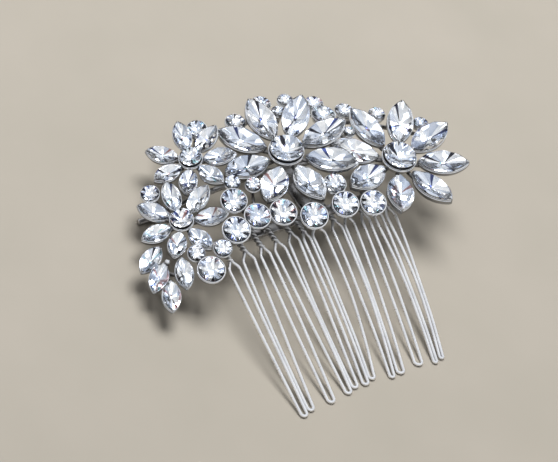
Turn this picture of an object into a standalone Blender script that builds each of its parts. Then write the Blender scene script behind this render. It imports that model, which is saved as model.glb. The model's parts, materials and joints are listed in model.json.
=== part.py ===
"""Decorative hair comb: a wire comb of twelve hairpin teeth under a cluster of crystal flowers.

The origin is at the middle of the bottom of the whole piece. +X runs along the comb toward the big flowers,
-Y toward the tips of the teeth, +Z up, away from the hair. The comb lies on its teeth and on the two feet of
its back frame. Lengths below are in millimetres and are scaled to metres when a mesh is made.
"""
import bpy
import math
from mathutils import Matrix, Vector

MM = 0.001

# Stones: length and width of the pointed ones (navettes), diameter of the round ones
BIG_NAVETTE = (12.0, 6.0)
SMALL_NAVETTE = (7.6, 3.9)
BIG_CENTRE = 7.6
SMALL_CENTRE = 4.8
NAVETTE_CROWN = 0.85
NAVETTE_TABLE = (0.5, 0.4)
ROUND_CROWN = 0.17
ROUND_TABLE = 0.58
POINT_GAP = 0.25

# Cups that hold them
CUP_GAP = 0.1
CUP_WALL = 0.3
CUP_LIP = 0.15
CUP_SHOULDER = 0.35
CUP_BASE = 0.73
BIG_CUP_DEPTH = 2.5
SMALL_CUP_DEPTH = 2.0
CENTRE_CUP_DEPTH = 3.2
FLOOR = 0.4
ARM_RADIUS = 0.55
POST_RADIUS = 0.5
POST_OVERLAP = 0.35
GALLERY_RADIUS = 0.6
TIE_RADIUS = 0.42
BIG_RISE = 9.0
SMALL_RISE = 11.0
HUB_LIFT = 0.5

# Wire of the teeth
WIRE_RADIUS = 0.38
STEM_ROOT = -1.8
STEM_END = -10.0
STEM_WIDTH = 1.48
STEM_THICKNESS = 0.72
TURNS_PER_MM = 0.43
STEM_LOW = 9.1
STEM_HIGH = 9.2

# Back frame
BAR_WIDTH = 2.6
BAR_HEIGHT = 1.0
BAR_TOP = 8.25
FRAME_RADIUS = 0.8
PLATE_WIDTH = 6.0
PLATE_THICKNESS = 0.8

METAL = ((0.78, 0.79, 0.80), 0.16, 1.0)
CRYSTAL = ((0.86, 0.90, 0.94), 0.03, 0.0)


def clear_scene():
    for old in list(bpy.data.objects):
        bpy.data.objects.remove(old, do_unlink=True)


def add_object(name, points, faces, look, smooth):
    mesh = bpy.data.meshes.new(name)
    mesh.from_pydata([Vector(point) * MM for point in points], [], faces)
    mesh.update()
    made = bpy.data.objects.new(name, mesh)
    bpy.context.scene.collection.objects.link(made)
    finish_object(made, look, smooth)
    return made


def finish_object(made, look, smooth):
    colour, roughness, metallic = look
    material = bpy.data.materials.new(made.name + "_material")
    material.use_nodes = True
    shader = material.node_tree.nodes["Principled BSDF"]
    shader.inputs["Base Color"].default_value = (*colour, 1.0)
    shader.inputs["Roughness"].default_value = roughness
    shader.inputs["Metallic"].default_value = metallic
    made.data.materials.clear()
    made.data.materials.append(material)
    for face in made.data.polygons:
        face.use_smooth = smooth


def placed(centre, lean_x=0.0, lean_y=0.0, turn=0.0):
    """Frame at a centre whose up direction leans by lean_x and lean_y, turned about it by turn degrees."""
    up = Vector((lean_x, lean_y, math.sqrt(1.0 - lean_x**2 - lean_y**2)))
    along = Vector((0.0, 1.0, 0.0)).cross(up).normalized()
    side = up.cross(along)
    axes = Matrix((along, side, up)).transposed().to_4x4()
    return Matrix.Translation(centre) @ axes @ Matrix.Rotation(math.radians(turn), 4, "Z")


def skin(rings):
    """Closed body from rings of equal length; a ring of one point closes an end to a tip."""
    points = []
    starts = []
    for ring in rings:
        starts.append(len(points))
        points.extend(ring)
    faces = []
    for low, high, here, after in zip(rings, rings[1:], starts, starts[1:]):
        count = max(len(low), len(high))
        for i in range(count):
            j = (i + 1) % count
            if len(low) == 1:
                faces.append((here, after + j, after + i))
            elif len(high) == 1:
                faces.append((here + i, here + j, after))
            else:
                faces.append((here + i, here + j, after + j, after + i))
    if len(rings[0]) > 1:
        faces.append(tuple(reversed(range(len(rings[0])))))
    if len(rings[-1]) > 1:
        faces.append(tuple(starts[-1] + i for i in range(len(rings[-1]))))
    return points, faces


def moved(shape, frame):
    points, faces = shape
    return [frame @ Vector(point) for point in points], faces


def navette_ring(length, width, height, per_side):
    """Boat outline, two arcs that meet at the ends, counter-clockwise at one height."""
    half = length / 2
    beam = width / 2
    radius = (half**2 + beam**2) / (2 * beam)
    spread = math.asin(half / radius)
    ring = []
    for side in (1, -1):
        for step in range(per_side):
            angle = spread * (1 - 2 * step / per_side)
            out = radius * math.cos(angle) - radius + beam
            ring.append((side * radius * math.sin(angle), side * out, height))
    return ring


def round_ring(diameter, height, sides):
    turns = [2 * math.pi * i / sides for i in range(sides)]
    return [(diameter / 2 * math.cos(turn), diameter / 2 * math.sin(turn), height) for turn in turns]


def cup_shape(ring, size, depth):
    """Open cup round a stone: ring(grow, height) gives its outline."""
    outside = size + 2 * (CUP_GAP + CUP_WALL)
    inside = size + 2 * CUP_GAP
    return skin([
        ring(outside * CUP_BASE, -depth),
        ring(outside, -CUP_SHOULDER * depth),
        ring(outside, CUP_LIP),
        ring(inside, CUP_LIP),
        ring(inside, -CUP_SHOULDER * depth),
        ring(inside * (CUP_BASE - 0.04), FLOOR - depth),
    ])


def navette_cup(size, depth, per_side):
    length, width = size
    rim = 2 * (CUP_GAP + CUP_WALL)
    seat = 2 * CUP_GAP
    return skin([
        navette_ring((length + rim) * 0.8, (width + rim) * 0.7, -depth, per_side),
        navette_ring(length + rim, width + rim, -CUP_SHOULDER * depth, per_side),
        navette_ring(length + rim, width + rim, CUP_LIP, per_side),
        navette_ring(length + seat, width + seat, CUP_LIP, per_side),
        navette_ring(length + seat, width + seat, -0.3 * depth, per_side),
        navette_ring((length + seat) * 0.76, (width + seat) * 0.62, FLOOR - depth, per_side),
    ])


def navette_stone(size, depth, per_side):
    length, width = size
    table_length, table_width = NAVETTE_TABLE
    return skin([
        [(0.0, 0.0, POINT_GAP - depth)],
        navette_ring(length, width, -0.1, per_side),
        navette_ring(length, width, 0.05, per_side),
        navette_ring(length * table_length, width * table_width, NAVETTE_CROWN, per_side),
    ])


def round_cup(diameter, depth, sides):
    return cup_shape(lambda size, height: round_ring(size, height, sides), diameter, depth)


def round_stone(diameter, sides, depth):
    return skin([
        [(0.0, 0.0, FLOOR + POINT_GAP - depth)],
        round_ring(diameter, -0.1, sides),
        round_ring(diameter, 0.1, sides),
        round_ring(diameter * ROUND_TABLE, ROUND_CROWN * diameter, sides),
    ])


def filled_cup(diameter, depth, sides):
    """Cup with its stone set in it, as one body."""
    outside = diameter + 2 * CUP_WALL
    return skin([
        round_ring(outside * CUP_BASE, -depth, sides),
        round_ring(outside, -CUP_SHOULDER * depth, sides),
        round_ring(outside, CUP_LIP, sides),
        round_ring(diameter, CUP_LIP, sides),
        round_ring(diameter * 0.98, 0.05, sides),
        round_ring(diameter * ROUND_TABLE, ROUND_CROWN * diameter, sides),
    ])


def tube(path, radius, sides):
    """Round bar along a path, its section kept square to the path."""
    path = [Vector(point) for point in path]
    rings = []
    across = None
    for i, point in enumerate(path):
        before = path[max(i - 1, 0)]
        after = path[min(i + 1, len(path) - 1)]
        ahead = (after - before).normalized()
        if across is None:
            across = ahead.cross(Vector((0, 0, 1))).normalized()
        across = (across - ahead * across.dot(ahead)).normalized()
        lift = across.cross(ahead)
        ring = []
        for k in range(sides):
            turn = 2 * math.pi * (k + 0.5) / sides
            ring.append(point + across * radius * math.cos(turn) + lift * radius * math.sin(turn))
        rings.append(list(reversed(ring)))
    return skin(rings)


def box_bar(start, end, width, height):
    """Square-edged bar between two points, level across its width."""
    start = Vector(start)
    end = Vector(end)
    ahead = (end - start).normalized()
    across = ahead.cross(Vector((0, 0, 1))).normalized() * width / 2
    lift = across.cross(ahead).normalized() * height / 2
    rings = []
    for point in (start, end):
        corners = ((-1, -1), (-1, 1), (1, 1), (1, -1))
        rings.append([point + across * wide + lift * tall for wide, tall in corners])
    return skin(rings)


def joined(name, shapes, look, smooth):
    """One object that is the union of several closed shapes."""
    body = add_object(name, *shapes[0], look, smooth)
    for points, faces in shapes[1:]:
        other = add_object(name + "_part", points, faces, look, smooth)
        union = body.modifiers.new("Join", "BOOLEAN")
        union.operation = "UNION"
        union.solver = "EXACT"
        union.object = other
        bpy.context.view_layer.update()
        graph = bpy.context.evaluated_depsgraph_get()
        whole = bpy.data.meshes.new_from_object(body.evaluated_get(graph))
        body.modifiers.clear()
        body.data = whole
        bpy.data.objects.remove(other, do_unlink=True)
    finish_object(body, look, smooth)
    return body


# ---------------------------------------------------------------- flowers

def flower(number, centre, lean, first, count, radius, big, trims, extras=()):
    """Casting, centre stone and petals. The petals rise a little outward round the centre.

    trims holds small turns in degrees, one per petal, away from even spacing. extras holds the place and the
    stone diameter of round cups that hang from the same casting."""
    frame = placed(centre, *lean)
    size = BIG_NAVETTE if big else SMALL_NAVETTE
    depth = BIG_CUP_DEPTH if big else SMALL_CUP_DEPTH
    rise = BIG_RISE if big else SMALL_RISE
    hub = BIG_CENTRE if big else SMALL_CENTRE
    hub_depth = CENTRE_CUP_DEPTH if big else SMALL_CUP_DEPTH + 0.7
    hub_sides = 14 if big else 10
    per_side = 5 if big else 4
    hub_frame = frame @ Matrix.Translation((0, 0, HUB_LIFT))
    shapes = [moved(round_cup(hub, hub_depth, hub_sides), hub_frame)]
    floor_height = HUB_LIFT - hub_depth + 0.2
    for k in range(count):
        turn = first - k * 360.0 / count + trims[k]
        bearing = frame @ Matrix.Rotation(math.radians(turn), 4, "Z")
        tilt = Matrix.Rotation(math.radians(-rise), 4, "Y")
        petal = bearing @ Matrix.Translation((radius, 0, 0)) @ tilt
        shapes.append(moved(navette_cup(size, depth, per_side), petal))
        inner = bearing @ Vector((0.3 * hub, 0, floor_height))
        outer = petal @ Vector((0, 0, -depth))
        shapes.append(tube((inner, outer), ARM_RADIUS, 5))
        stone = moved(navette_stone(size, depth - FLOOR, per_side), petal)
        add_object("flower_%d_petal_%d" % (number, k + 1), *stone, CRYSTAL, False)
    for spot, diameter in extras:
        cup = placed(spot, *lean)
        shapes.append(moved(filled_cup(diameter, SMALL_CUP_DEPTH, 9), cup))
        inner = frame @ Vector((0, 0, floor_height - 0.2))
        shapes.append(tube((inner, cup @ Vector((0, 0, -SMALL_CUP_DEPTH - 0.2))), ARM_RADIUS, 5))
    joined("flower_%d_casting" % number, shapes, METAL, False)
    stone = moved(round_stone(hub, hub_sides, hub_depth), hub_frame)
    add_object("flower_%d_centre" % number, *stone, CRYSTAL, False)


# ---------------------------------------------------------------- teeth

def stem_shape(x, root, end_y):
    """Two wires twisted together, as a bar whose flat section turns along its length."""
    turns = TURNS_PER_MM * (root - end_y)
    steps = round(5 * turns)
    rings = []
    low = Vector((x, STEM_END, STEM_LOW))
    high = Vector((x, STEM_ROOT, STEM_HIGH))
    start = low.lerp(high, (root - STEM_END) / (STEM_ROOT - STEM_END))
    end = low.lerp(high, (end_y - STEM_END) / (STEM_ROOT - STEM_END))
    ahead = (end - start).normalized()
    across = ahead.cross(Vector((0, 0, 1))).normalized()
    lift = across.cross(ahead)
    outline = [(0.5, 0.2), (0.5, -0.2), (0.0, -0.5), (-0.5, -0.2), (-0.5, 0.2), (0.0, 0.5)]
    for i in range(steps + 1):
        point = start.lerp(end, i / steps)
        turn = 2 * math.pi * turns * (1 - i / steps)
        wide = (across * math.cos(turn) + lift * math.sin(turn)) * STEM_WIDTH
        thin = (lift * math.cos(turn) - across * math.sin(turn)) * STEM_THICKNESS
        rings.append([point + wide * a + thin * b for a, b in outline])
    return skin(rings)


def hairpin(number, top, tip, reach, spreads, bow, split, root=STEM_ROOT):
    """Tooth: two legs from the end of the twist to a round turn at the tip.

    top and tip are places along the comb. spreads is half the distance between the legs near the top,
    half-way and at the tip. bow is how far the tooth curves sideways half-way down. split is where the legs
    part, and root is where the stem begins."""
    early, middle, end = spreads
    end_y = end + WIRE_RADIUS - reach
    places = (
        (0.0, 0.3),
        (0.02, 0.5 * early + 0.2),
        (0.045, early),
        (0.1, early),
        (0.28, 0.5 * (early + middle)),
        (0.5, middle),
        (0.76, 0.5 * (middle + end)),
        (1.0, end),
    )
    legs = []
    for side in (-1, 1):
        leg = []
        for share, apart in places:
            y = split + (end_y - split) * share
            centre = top + (tip - top) * share + 4 * bow * share * (1 - share)
            z = STEM_LOW + 0.03 + (WIRE_RADIUS - STEM_LOW) * share
            leg.append((centre + side * apart, y, z))
        legs.append(leg)
    turn = []
    for k in range(1, 4):
        angle = math.pi * k / 4
        turn.append((tip - end * math.cos(angle), end_y - end * math.sin(angle), WIRE_RADIUS + 0.03))
    wire = tube(legs[0] + turn + list(reversed(legs[1])), WIRE_RADIUS, 6)
    joined("hairpin_%02d" % number, [wire, stem_shape(top, root, split - 0.5)], METAL, True)


def cup_row(cups, lean, depth_big, depth_small, drop):
    """Filled cups with a post under each, and the feet of the posts, each drop below the rim of its cup."""
    shapes = []
    feet = []
    for x, y, z, diameter in cups:
        big = diameter > 5.0
        depth = depth_big if big else depth_small
        cup = placed((x, y, z), *lean)
        head = cup @ Vector((0, 0, POST_OVERLAP - depth))
        foot = cup @ Vector((0, 0, -drop))
        shapes.append(moved(filled_cup(diameter, depth, 11 if big else 9), cup))
        shapes.append(tube((head, foot), POST_RADIUS, 6))
        feet.append(foot)
    return shapes, feet


clear_scene()

# Big flowers: centre, lean, bearing of the first petal, petals clockwise
flower(1, (7.9, 12.4, 14.0), (-0.20, 0.08), 90.0, 8, 10.7, True, (0, 0, 2, 2, -3, -3, -1, -1))
flower(2, (34.4, 1.5, 14.0), (-0.09, 0.0), 54.0, 8, 10.8, True, (0, 3, 5, 4, 3, 2, 4, 3))
# Small flowers, each with one round cup beside it: place and stone
ROUND_3 = ((-7.2, 27.3, 10.5), 4.4)
ROUND_4 = ((-27.2, 15.4, 8.3), 4.0)
flower(3, (-13.6, 20.0, 10.5), (-0.33, 0.08), 76.0, 7, 6.55, False, (0, 0, -1, 2, 4, 8, 11), (ROUND_3,))
flower(4, (-24.7, 5.8, 9.0), (-0.33, 0.05), 76.0, 7, 6.65, False, (3, 0, 2, -4, 0, 3, 2), (ROUND_4,))

# Spray of four small petals and a bead, beside the second small flower: place, height, bearing
SPRAY = (
    (-36.5, -0.6, 6.9, 207.0),
    (-37.3, -5.5, 6.7, 222.0),
    (-31.6, -7.0, 7.7, 250.0),
    (-37.2, -10.9, 6.5, 243.0),
)
SPRAY_ROOT = (-33.5, -4.0, 4.6)
BEAD = (-34.1, -3.3, 8.0)
BEAD_RADIUS = 0.65
spray = []
for k, (x, y, z, bearing) in enumerate(SPRAY):
    petal = placed((x, y, z), -0.25, -0.1, bearing)
    spray.append(moved(navette_cup(SMALL_NAVETTE, SMALL_CUP_DEPTH, 4), petal))
    spray.append(tube((petal @ Vector((0, 0, -0.1 - SMALL_CUP_DEPTH)), SPRAY_ROOT), ARM_RADIUS, 5))
    stone = moved(navette_stone(SMALL_NAVETTE, SMALL_CUP_DEPTH - FLOOR, 4), petal)
    add_object("spray_petal_%d" % (k + 1), *stone, CRYSTAL, False)
bead_rings = [[(0.0, 0.0, -BEAD_RADIUS)]]
for level in (-0.7, 0.0, 0.7):
    bead_rings.append(round_ring(2 * BEAD_RADIUS * math.sqrt(1 - level**2), BEAD_RADIUS * level, 8))
bead_rings.append([(0.0, 0.0, BEAD_RADIUS)])
spray.append(moved(skin(bead_rings), Matrix.Translation(BEAD)))
spray.append(tube((BEAD, SPRAY_ROOT), TIE_RADIUS, 5))
joined("spray_casting", spray, METAL, False)

# Front row of round stones over the teeth: place, height, stone
FRONT_ROW = (
    (-27.6, -4.6, 10.3, 3.6),
    (-27.3, -10.2, 11.0, 5.8),
    (-22.2, -6.6, 12.2, 3.8),
    (-16.9, -3.7, 13.3, 5.9),
    (-10.1, -2.2, 13.8, 5.6),
    (-3.9, -3.6, 14.4, 5.8),
    (2.8, -7.0, 14.4, 5.9),
    (12.2, -6.6, 14.4, 5.8),
    (19.2, -8.5, 14.4, 5.6),
)
SECOND_ROW = (
    (-12.4, 4.1, 13.0, 5.6),
    (13.6, -0.3, 14.0, 4.8),
    (-9.4, 9.1, 12.5, 3.3),
    (-5.6, 6.3, 13.5, 3.3),
)
front, front_feet = cup_row(FRONT_ROW, (-0.25, -0.18), 2.4, 1.9, 2.5)
second, second_feet = cup_row(SECOND_ROW, (-0.25, -0.1), 2.4, 1.9, 2.8)
front.append(tube(front_feet, GALLERY_RADIUS, 7))
for near, foot in zip((4, 7, 4, 4), second_feet):
    front.append(tube((foot, front_feet[near]), TIE_RADIUS, 5))
joined("front_cup_row", front + second, METAL, False)

# Rear row of round stones along the far edge
REAR_ROW = (
    (3.6, 26.3, 10.3, 4.5),
    (12.5, 28.8, 11.0, 4.3),
    (14.1, 24.4, 12.5, 2.9),
    (18.3, 27.1, 12.0, 3.6),
    (24.4, 23.7, 12.5, 4.2),
    (24.3, 19.6, 13.0, 5.2),
    (31.9, 20.3, 11.0, 4.2),
    (37.8, 15.5, 13.0, 3.7),
    (47.1, 9.4, 13.0, 3.4),
)
rear, rear_feet = cup_row(REAR_ROW, (-0.1, 0.12), 2.2, 1.9, 4.2)
rear.append(tube(rear_feet, GALLERY_RADIUS, 7))
INNER_REAR = ((26.6, 12.3, 14.0, 2.6), (27.2, 15.9, 13.0, 2.0))
inner, inner_feet = cup_row(INNER_REAR, (-0.1, 0.05), 1.9, 1.6, 4.0)
rear.append(tube(inner_feet + [rear_feet[5]], TIE_RADIUS, 5))
joined("rear_cup_row", rear + inner, METAL, False)

# Teeth: top, tip, reach, half spreads, bow, split
hairpin(1, -20.5, -21.8, 47.5, (1.35, 1.1, 0.75), 0.0, -9.1, -7.6)
hairpin(2, -15.6, -19.4, 46.7, (1.5, 1.3, 0.75), -0.2, -8.0)
hairpin(3, -11.0, -13.5, 46.6, (1.25, 1.25, 0.85), 0.1, -8.1)
hairpin(4, -6.7, -8.2, 46.0, (1.4, 1.25, 0.75), 0.1, -7.9)
hairpin(5, -1.95, -5.8, 45.2, (1.4, 1.35, 0.75), -0.1, -7.0)
hairpin(6, 1.35, -2.8, 45.4, (0.9, 0.75, 0.75), 0.5, -7.7)
hairpin(7, 5.0, -0.4, 44.6, (1.7, 1.7, 0.75), 1.0, -7.2)
hairpin(8, 10.5, 4.5, 46.0, (1.3, 1.25, 0.6), 0.8, -7.2)
hairpin(9, 14.2, 7.3, 45.8, (1.3, 1.1, 0.9), 0.65, -7.2)
hairpin(10, 18.8, 12.95, 45.4, (1.0, 1.15, 1.0), 0.55, -7.5)
hairpin(11, 22.4, 17.1, 46.3, (0.95, 0.44, 0.44), 0.9, -7.5)
hairpin(12, 25.8, 19.3, 45.8, (1.15, 0.44, 0.46), 1.1, -8.2)

# Back frame: a level bar under the stems, a plate, and an arched wire that reaches the table at both ends
BAR_Y = -3.0
BAR_ENDS = (-21.3, 27.2)
ARCH_ENDS = ((-29.0, 13.4), (46.0, 9.4))
ARCH_MIDDLE = (8.5, 12.0, 8.3)
ARCH_REACH = 34.0
FOOT_HEIGHT = 0.77
ARCH_STEPS = 12
arch = []
for step in range(ARCH_STEPS + 1):
    share = step / ARCH_STEPS
    across = 2 * share - 1
    x = ARCH_MIDDLE[0] + ARCH_REACH * across
    z = FOOT_HEIGHT + (ARCH_MIDDLE[2] - FOOT_HEIGHT) * (1 - across**2)
    y = ARCH_ENDS[0][1] + (ARCH_ENDS[1][1] - ARCH_ENDS[0][1]) * share
    arch.append((x, y, z))
arch.insert(0, (*ARCH_ENDS[0], FOOT_HEIGHT))
arch.append((*ARCH_ENDS[1], FOOT_HEIGHT))
bar_middle = BAR_TOP - BAR_HEIGHT / 2
bar_left = (BAR_ENDS[0], BAR_Y, bar_middle)
bar_right = (BAR_ENDS[1], BAR_Y, bar_middle)
plate_front = (ARCH_MIDDLE[0], BAR_Y - 0.5, bar_middle + 0.1)
plate_back = (ARCH_MIDDLE[0], ARCH_MIDDLE[1] + 0.2, bar_middle + 0.4)
frame_parts = [
    box_bar(bar_left, bar_right, BAR_WIDTH, BAR_HEIGHT),
    tube(arch, FRAME_RADIUS, 8),
    box_bar(plate_front, plate_back, PLATE_WIDTH, PLATE_THICKNESS),
]
joined("back_frame", frame_parts, METAL, False)

# The whole comb hangs from one empty, which sets the middle of its underside at the origin
corners = []
for piece in bpy.context.scene.objects:
    corners.extend(vertex.co for vertex in piece.data.vertices)
low = [min(corner[axis] for corner in corners) for axis in range(3)]
high = [max(corner[axis] for corner in corners) for axis in range(3)]
comb = bpy.data.objects.new("comb", None)
bpy.context.scene.collection.objects.link(comb)
comb.empty_display_size = 10 * MM
comb.location = (-(low[0] + high[0]) / 2, -(low[1] + high[1]) / 2, -low[2])
for piece in bpy.context.scene.objects:
    if piece.type == "MESH":
        piece.parent = comb
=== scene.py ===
"""Looks of the decorative hair comb: cut crystals in polished cups, over a comb of twisted wire teeth.

Shapes are made in the working frame of the part, in millimetres: +X along the comb toward the big flowers,
-Y toward the tips of the teeth, +Z up. build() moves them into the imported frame, in metres.
"""

import collections
import json
import math
import random

import bmesh
import bpy
from mathutils import Matrix, Vector


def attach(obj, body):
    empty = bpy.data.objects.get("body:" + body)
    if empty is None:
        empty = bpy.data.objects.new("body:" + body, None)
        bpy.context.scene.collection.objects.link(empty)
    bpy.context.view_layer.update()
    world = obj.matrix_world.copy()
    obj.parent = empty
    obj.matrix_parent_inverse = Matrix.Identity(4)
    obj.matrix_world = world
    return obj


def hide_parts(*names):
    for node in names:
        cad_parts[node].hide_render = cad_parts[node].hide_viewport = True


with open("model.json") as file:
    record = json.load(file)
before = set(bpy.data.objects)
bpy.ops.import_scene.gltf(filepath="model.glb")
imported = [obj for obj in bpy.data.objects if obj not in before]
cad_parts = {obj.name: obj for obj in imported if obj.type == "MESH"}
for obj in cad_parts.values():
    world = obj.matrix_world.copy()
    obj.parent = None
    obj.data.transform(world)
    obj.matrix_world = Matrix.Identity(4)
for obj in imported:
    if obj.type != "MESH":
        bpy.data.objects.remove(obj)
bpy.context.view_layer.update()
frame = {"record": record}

MM = 0.001

# The bar_underside mount lies at this point of the working frame, which ties the two frames together
BAR_POINT = Vector((-10.0, -3.0, 7.25))
MOUNT = next(mount for mount in frame["record"]["mounts"] if mount["name"] == "bar_underside")
SHIFT = Vector(MOUNT["pos_m"]) / MM - BAR_POINT

# Stones, and the depths of their cups and thickness of a cup's bottom, as in the part. A navette is a
# boat-shaped stone
BIG_NAVETTE = (12.0, 6.0)
SMALL_NAVETTE = (7.6, 3.9)
BIG_CENTRE = 7.6
SMALL_CENTRE = 4.8
BIG_CUP_DEPTH = 2.5
SMALL_CUP_DEPTH = 2.0
CENTRE_CUP_DEPTH = 3.2
CUP_BOTTOM = 0.4

# Cups: a lip is the height of a rim from the edge of the stone, a gap is the room round the stone, a base is
# how wide the bottom is as a share of the rim, and the ends of a navette taper less than its sides
CUP_GAP = 0.06
CUP_WALL = 0.22
CUP_GROOVE = 0.14
CUP_SIDE_POINTS = 20
NAVETTE_BASE = 0.7
NAVETTE_END_TAPER = 0.7
ROUND_BASE = 0.74
NAVETTE_LIP = -0.17
ROUND_LIP = -0.18
ROUND_GAP = 0.1
ROUND_WALL = 0.01
ROUND_WALL_PER_MM = 0.045
CENTRE_LIP = -0.72
CENTRE_GAP = 0.22
CENTRE_WALL = 0.24
OVERHANG = 0.26

# Wires that join the cups
ARM_RADIUS = 0.5
POST_RADIUS = 0.48
GALLERY_RADIUS = 0.55
TIE_RADIUS = 0.4
BEAD_WIRE_RADIUS = 0.36

# Wire of the teeth. A stem runs from its root, at height STEM_HIGH, to its end, at height STEM_LOW
WIRE_RADIUS = 0.38
STEM_ROOT = -1.8
STEM_END = -10.0
STEM_LOW = 9.1
STEM_HIGH = 9.2
TURNS_PER_MM = 0.43
STEPS_PER_TURN = 14
LEG_STEPS = 8
TIP_STEPS = 8
WIRE_SIDES = 12

# Y of the imported frame where the painted shadow over the twists begins, and where it is full
TWIST_FRONT = -2.5
TWIST_BACK = 1.5

# Back frame
BAR_Y = -3.0
BAR_ENDS = (-21.3, 27.2)
BAR_WIDTH = 2.6
BAR_HEIGHT = 1.0
BAR_TOP = 8.25


# ---------------------------------------------------------------- materials

# Scales of the noises, per metre, and the relief of the grain, in metres
WEAR_SCALE = 260.0
POLISH_SCALE = 700.0
GRAIN_SCALE = 1500.0
HAZE_SCALE = 420.0
FOIL_SCALE = 500.0
GAP_SHADOW_SCALE = 900.0
FLOOR_SCALE = 30.0
GRAIN_HEIGHT = 0.00003

CROWN_IOR = 1.34
WHITE = (1.0, 1.0, 1.0)
FACET_LAYER = "facet"

# Colour sockets of a Mix node, which have the same names as its other sockets
MIX_FIRST = 6
MIX_SECOND = 7
MIX_RESULT = 2


def grey(level):
    return (level, level, level)


def new_material(name):
    material = bpy.data.materials.new(name)
    material.use_nodes = True
    nodes = material.node_tree.nodes
    return material, nodes, material.node_tree.links, nodes["Principled BSDF"]


def add_node(nodes, kind, **settings):
    """New node. Each setting is the value of an input, or of a property where no input has that name."""
    node = nodes.new(kind)
    for key, value in settings.items():
        if key in node.inputs:
            node.inputs[key].default_value = value
        else:
            setattr(node, key, value)
    return node


def ramp(nodes, links, source, stops):
    """Colour ramp on a socket; stops are (position, colour)."""
    node = nodes.new("ShaderNodeValToRGB")
    elements = node.color_ramp.elements
    while len(elements) < len(stops):
        elements.new(0.5)
    for element, (position, colour) in zip(elements, stops):
        element.position = position
        element.color = (*colour, 1.0)
    links.new(source, node.inputs["Fac"])
    return node.outputs["Color"]


def multiply(nodes, links, first, second):
    """Product of two colour sockets."""
    mix = add_node(nodes, "ShaderNodeMix", data_type="RGBA", blend_type="MULTIPLY", Factor=1.0)
    links.new(first, mix.inputs[MIX_FIRST])
    links.new(second, mix.inputs[MIX_SECOND])
    return mix.outputs[MIX_RESULT]


def noise_on_object(nodes, links, scale, detail=3.0):
    place = nodes.new("ShaderNodeTexCoord")
    noise = add_node(nodes, "ShaderNodeTexNoise", Scale=scale, Detail=detail)
    links.new(place.outputs["Object"], noise.inputs["Vector"])
    return noise.outputs["Fac"]


def painted_shade_by_slope(nodes, links, shade):
    """White where a surface faces up, and darker by shade on walls and undersides: painted shade, for the
    light that falls from above.
    """
    facing = nodes.new("ShaderNodeNewGeometry")
    split = nodes.new("ShaderNodeSeparateXYZ")
    links.new(facing.outputs["Normal"], split.inputs["Vector"])
    return ramp(nodes, links, split.outputs["Z"], [(0.1, grey(1.0 - shade)), (0.75, WHITE)])


def painted_shadow_by_place(nodes, links, painted_shadow):
    """White over most of the comb, and darker behind TWIST_FRONT: a painted shadow of the flowers over the
    twisted stems.
    """
    place = nodes.new("ShaderNodeTexCoord")
    split = nodes.new("ShaderNodeSeparateXYZ")
    links.new(place.outputs["Object"], split.inputs["Vector"])
    depth = nodes.new("ShaderNodeMapRange")
    depth.inputs["From Min"].default_value = TWIST_FRONT * MM
    depth.inputs["From Max"].default_value = TWIST_BACK * MM
    links.new(split.outputs["Y"], depth.inputs["Value"])
    return ramp(nodes, links, depth.outputs["Result"], [(0.0, WHITE), (1.0, grey(1.0 - painted_shadow))])


def metal_material(name, bright, dull, roughness, grain, shade=0.0, painted_shadow=0.0):
    """Plated metal: colour drifts between bright and dull, roughness varies, and grain breaks highlights.

    shade is how much darker walls and undersides are painted, a painted shade where they face away from the
    light above. The last argument is how much darker the metal is painted behind TWIST_FRONT, where the
    teeth are twisted and soldered: a painted shadow of the flowers over them."""
    material, nodes, links, shader = new_material(name)
    shader.inputs["Metallic"].default_value = 1.0
    wear = noise_on_object(nodes, links, WEAR_SCALE)
    colour = ramp(nodes, links, wear, [(0.3, dull), (0.6, bright)])
    # Painted shade: walls and undersides darker than the tops
    if shade:
        colour = multiply(nodes, links, colour, painted_shade_by_slope(nodes, links, shade))
    # Painted shadow over the twisted stems, behind TWIST_FRONT
    if painted_shadow:
        colour = multiply(nodes, links, colour, painted_shadow_by_place(nodes, links, painted_shadow))
    links.new(colour, shader.inputs["Base Color"])
    polish = noise_on_object(nodes, links, POLISH_SCALE)
    smoothest, roughest = roughness
    rough = ramp(nodes, links, polish, [(0.3, grey(smoothest)), (0.75, grey(roughest))])
    links.new(rough, shader.inputs["Roughness"])
    bump = add_node(nodes, "ShaderNodeBump", Strength=grain, Distance=GRAIN_HEIGHT)
    links.new(noise_on_object(nodes, links, GRAIN_SCALE, 2.0), bump.inputs["Height"])
    links.new(bump.outputs["Normal"], shader.inputs["Normal"])
    return material


def facet_painted_reflection(nodes, links, cloud, shade):
    """Each facet's painted reflection, a tone of its own, clouded a little by a noise."""
    facet = add_node(nodes, "ShaderNodeVertexColor", layer_name=FACET_LAYER)
    clouded = ramp(nodes, links, cloud, [(0.3, shade), (0.7, WHITE)])
    return multiply(nodes, links, facet.outputs["Color"], clouded)


def glass_material():
    """Clear crown of a stone, with the faintest haze from handling."""
    material, nodes, links, shader = new_material("crystal_crown")
    shader.inputs["Transmission Weight"].default_value = 1.0
    shader.inputs["IOR"].default_value = CROWN_IOR
    haze = noise_on_object(nodes, links, HAZE_SCALE)
    rough = ramp(nodes, links, haze, [(0.55, grey(0.0)), (0.85, grey(0.03))])
    links.new(rough, shader.inputs["Roughness"])
    links.new(facet_painted_reflection(nodes, links, haze, (0.97, 0.985, 1.0)), shader.inputs["Base Color"])
    return material


def foil_material():
    """Silver foil behind a stone. Each facet carries its own painted reflection tone."""
    material, nodes, links, shader = new_material("crystal_foil")
    shader.inputs["Metallic"].default_value = 0.92
    cloud = noise_on_object(nodes, links, FOIL_SCALE)
    links.new(facet_painted_reflection(nodes, links, cloud, (0.95, 0.96, 0.98)), shader.inputs["Base Color"])
    rough = ramp(nodes, links, cloud, [(0.3, grey(0.02)), (0.8, grey(0.06))])
    links.new(rough, shader.inputs["Roughness"])
    return material


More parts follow.
